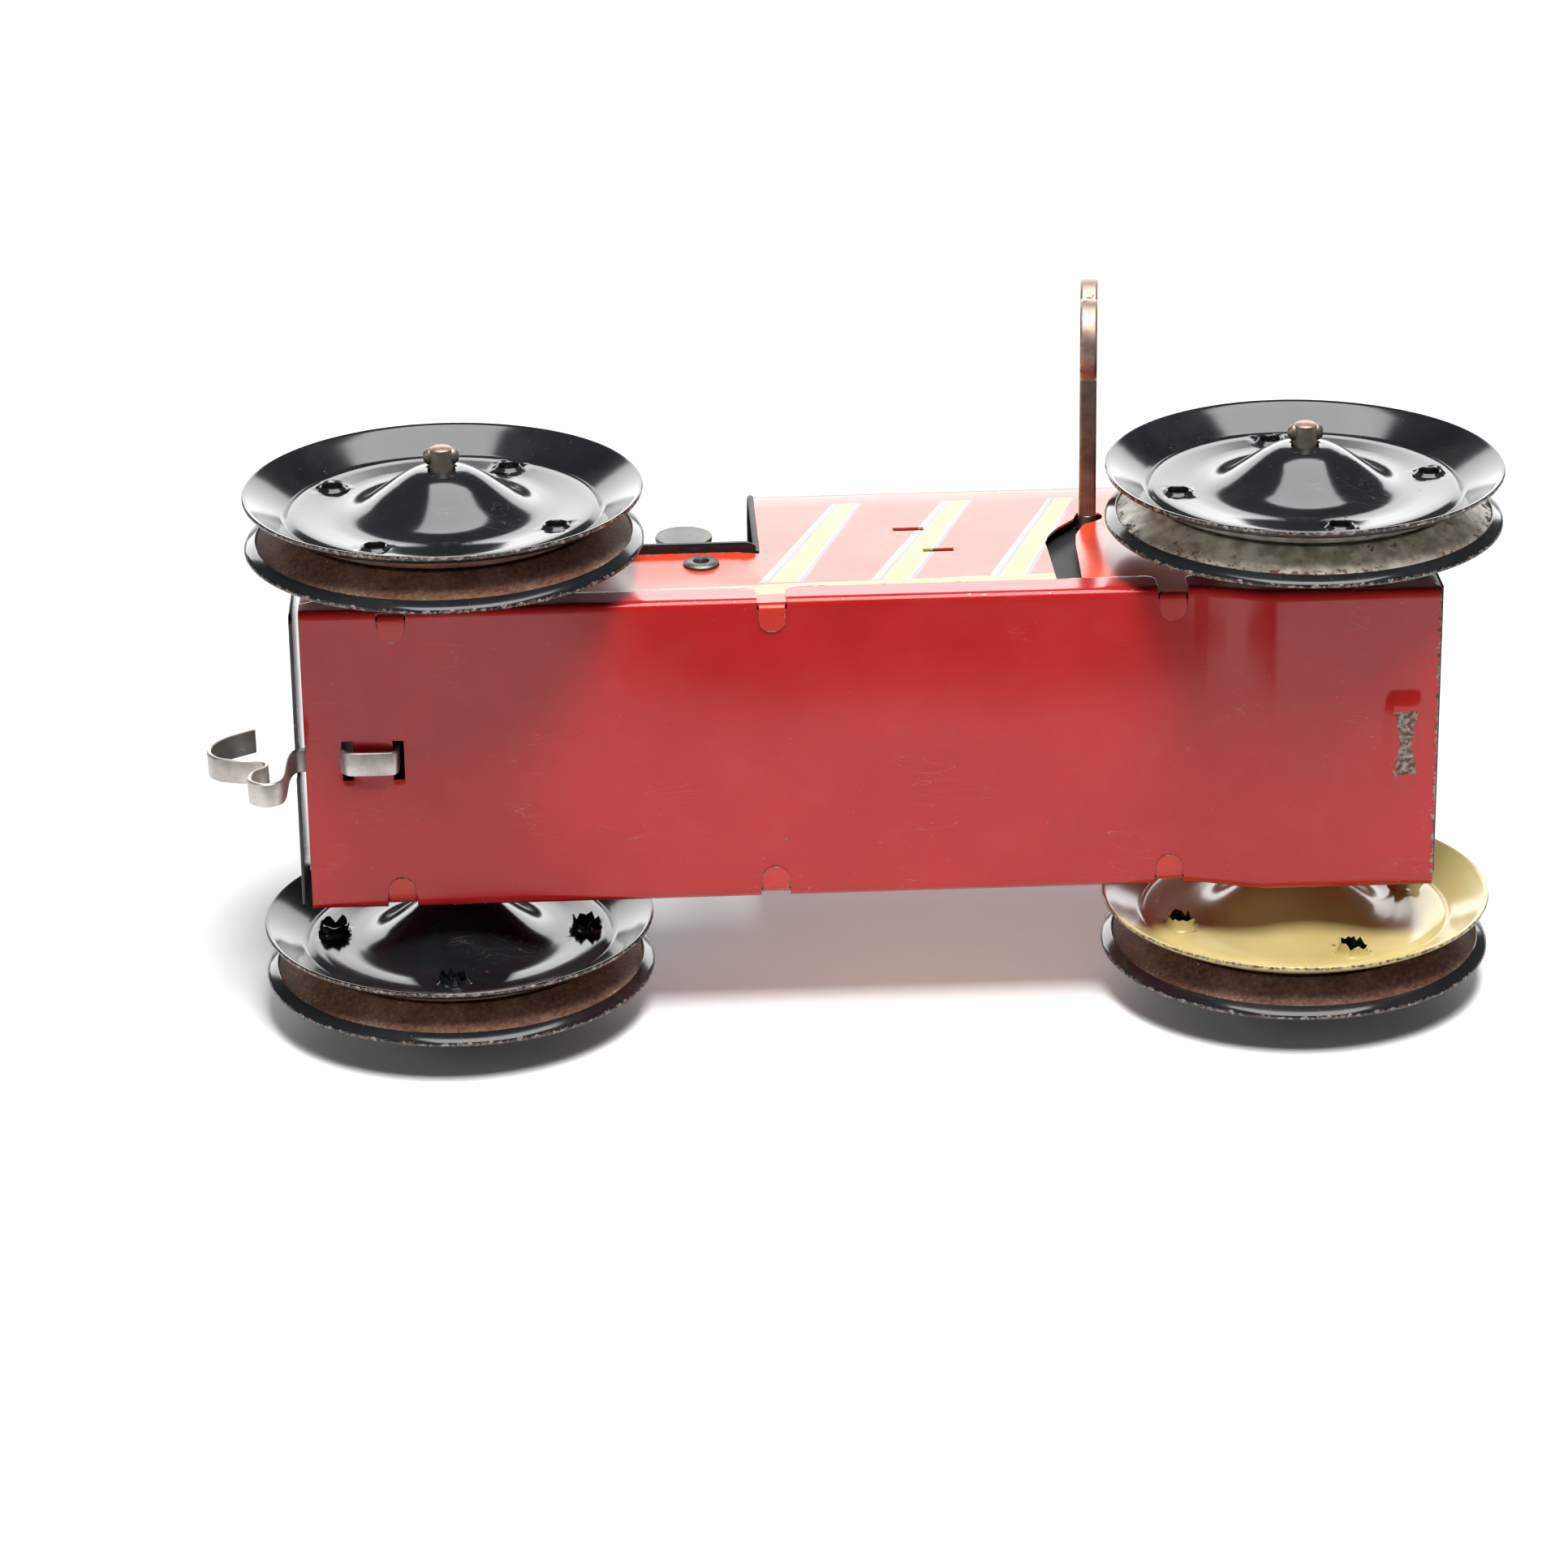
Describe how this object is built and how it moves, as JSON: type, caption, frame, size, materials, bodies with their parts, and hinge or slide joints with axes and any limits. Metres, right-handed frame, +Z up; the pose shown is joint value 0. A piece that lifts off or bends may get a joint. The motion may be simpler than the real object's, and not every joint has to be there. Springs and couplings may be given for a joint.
{
  "type": "clockwork toy tractor",
  "caption": "Clockwork tin crawler tractor with dished double-disc grooved wheels, side winding key, folded tin body and a bent strip tow hook; its rubber tracks are missing.",
  "frame": {"origin": "on the flat underside of the bottom pan, on the centre line, midway between the two axles", "axes": "+X forward, along the hood; +Y to the tractor's left, along the axles; +Z up"},
  "size_m": [0.216, 0.1167, 0.0828],
  "materials": {
    "orange_paint": "gloss orange-red lithographed tinplate, worn at edges",
    "red_paint": "gloss dark red paint, scratched",
    "black_paint": "gloss black enamel, rusted at the lips",
    "olive_paint": "gloss olive-yellow lithographed tinplate",
    "steel": "dull tinned steel",
    "rusty_steel": "steel with a rust-brown patina",
    "brass": "stamped brass, dull",
    "spring_steel": "blued spring steel"
  },
  "bodies": {
    "chassis": {"body_shell": "orange_paint", "bottom_pan": "red_paint", "rear_wall": "black_paint", "radiator_front": "black_paint", "rear_deck": "black_paint", "dash_panel": "black_paint", "driver_seat": "black_paint", "steering_column": "steel", "steering_wheel": "black_paint", "tow_hook": "steel", "motor_plate_right": "black_paint", "motor_plate_left": "steel", "frame_pillar_1": "steel", "frame_pillar_2": "steel", "frame_pillar_3": "steel", "frame_pillar_4": "steel", "mainspring": "spring_steel", "lever_rivet": "steel"},
    "front_axle_set": {"front_axle": "rusty_steel", "axle_gear": "brass", "front_right_outer_disc": "black_paint", "front_right_inner_disc": "black_paint", "front_left_outer_disc": "black_paint", "front_left_inner_disc": "olive_paint"},
    "rear_axle_set": {"rear_axle": "rusty_steel", "rear_right_outer_disc": "black_paint", "rear_right_inner_disc": "black_paint", "rear_left_outer_disc": "black_paint", "rear_left_inner_disc": "black_paint"},
    "winding_set": {"winding_arbor": "rusty_steel", "key_grip": "rusty_steel", "ratchet_wheel": "steel"},
    "great_wheel_set": {"great_wheel": "brass", "click_spring": "spring_steel"},
    "click_set": {"click": "steel"},
    "drive_pinion_set": {"drive_pinion": "steel"},
    "second_set": {"second_arbor": "steel", "second_wheel": "brass"},
    "escape_set": {"escape_arbor": "steel", "escape_wheel": "brass"},
    "anchor_set": {"escape_anchor": "steel"},
    "lever_set": {"start_stop_lever": "steel"}
  },
  "joints": [
    {"name": "front_axle_spin", "type": "hinge", "parent": "chassis", "child": "front_axle_set", "pos_m": [0.0713, 0, 0.013], "axis": [0, 1, 0], "continuous": true},
    {"name": "rear_axle_spin", "type": "hinge", "parent": "chassis", "child": "rear_axle_set", "pos_m": [-0.0713, 0, 0.013], "axis": [0, 1, 0], "continuous": true},
    {"name": "winding_arbor_spin", "type": "hinge", "parent": "chassis", "child": "winding_set", "pos_m": [0.0377, 0, 0.0375], "axis": [0, 1, 0], "continuous": true},
    {"name": "great_wheel_spin", "type": "hinge", "parent": "chassis", "child": "great_wheel_set", "pos_m": [0.0377, 0, 0.0375], "axis": [0, 1, 0], "continuous": true},
    {"name": "click_lift", "type": "hinge", "parent": "great_wheel_set", "child": "click_set", "pos_m": [0.04187, 0, 0.04896], "axis": [0, 1, 0], "range_deg": [-14, 0], "stiffness_Nm_per_rad": 0.0005},
    {"name": "drive_pinion_spin", "type": "hinge", "parent": "chassis", "child": "drive_pinion_set", "pos_m": [0.05786, 0, 0.02643], "axis": [0, 1, 0], "continuous": true},
    {"name": "second_arbor_spin", "type": "hinge", "parent": "chassis", "child": "second_set", "pos_m": [0.01703, 0, 0.02998], "axis": [0, 1, 0], "continuous": true},
    {"name": "escape_spin", "type": "hinge", "parent": "chassis", "child": "escape_set", "pos_m": [0.00325, 0, 0.02355], "axis": [0, 1, 0], "continuous": true},
    {"name": "anchor_rock", "type": "hinge", "parent": "chassis", "child": "anchor_set", "pos_m": [-0.0087, 0, 0.02251], "axis": [0, 1, 0], "range_deg": [-6, 6]},
    {"name": "start_stop_swing", "type": "hinge", "parent": "chassis", "child": "lever_set", "pos_m": [-0.0288, 0, 0.019], "axis": [0, 1, 0], "range_deg": [-6, 10]}
  ],
  "couplings": [
    {"joint": "drive_pinion_spin", "follows": "front_axle_spin", "ratio": -2.8},
    {"joint": "great_wheel_spin", "follows": "front_axle_spin", "ratio": 0.77778},
    {"joint": "second_arbor_spin", "follows": "front_axle_spin", "ratio": -3.5},
    {"joint": "escape_spin", "follows": "front_axle_spin", "ratio": 13.125}
  ]
}
